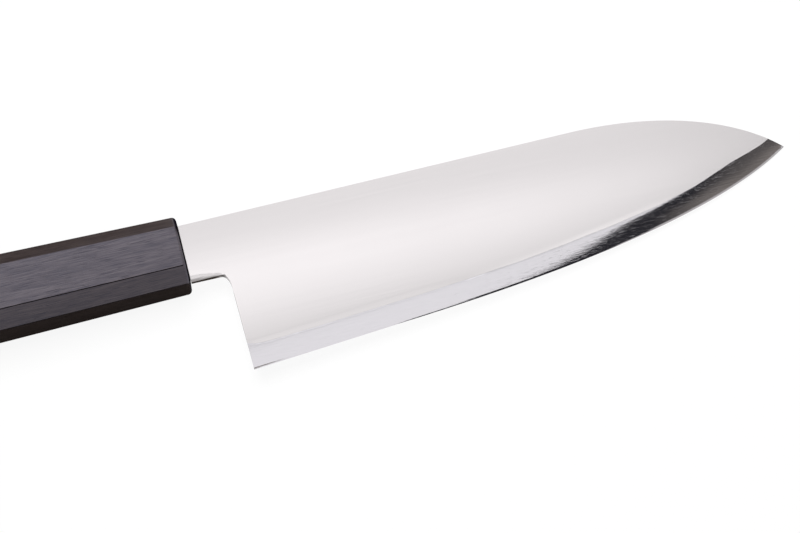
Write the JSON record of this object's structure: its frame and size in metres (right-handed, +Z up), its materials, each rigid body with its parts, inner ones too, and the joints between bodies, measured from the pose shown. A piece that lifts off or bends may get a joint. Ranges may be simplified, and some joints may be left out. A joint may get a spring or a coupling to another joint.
{
  "type": "santoku knife",
  "caption": "Kitchen knife with a tall laminated steel blade, gently curved edge and dropped tip, on a hidden tang in a one-piece octagonal dark wooden handle.",
  "frame": {"origin": "on the table, under the middle of the knife's box", "axes": "+X along the knife towards the tip, +Y towards the spine, +Z up off the table; the knife lies on its left side, tipped forward onto the front of the handle and the tip, with the right side of the blade facing up"},
  "size_m": [0.3042, 0.0498, 0.0277],
  "materials": {
    "core_steel": "polished",
    "cladding_steel": "satin",
    "dark_wood": "satin",
    "pale_wood": "matte",
    "clear_resin": "satin",
    "dark_resin": "satin"
  },
  "bodies": {
    "root": {"core_steel": "core_steel", "right_cladding": "cladding_steel", "left_cladding": "cladding_steel", "handle_body": "dark_wood", "tang_dowel": "pale_wood", "tang_bedding": "clear_resin", "mouth_seal": "dark_resin"}
  },
  "joints": []
}
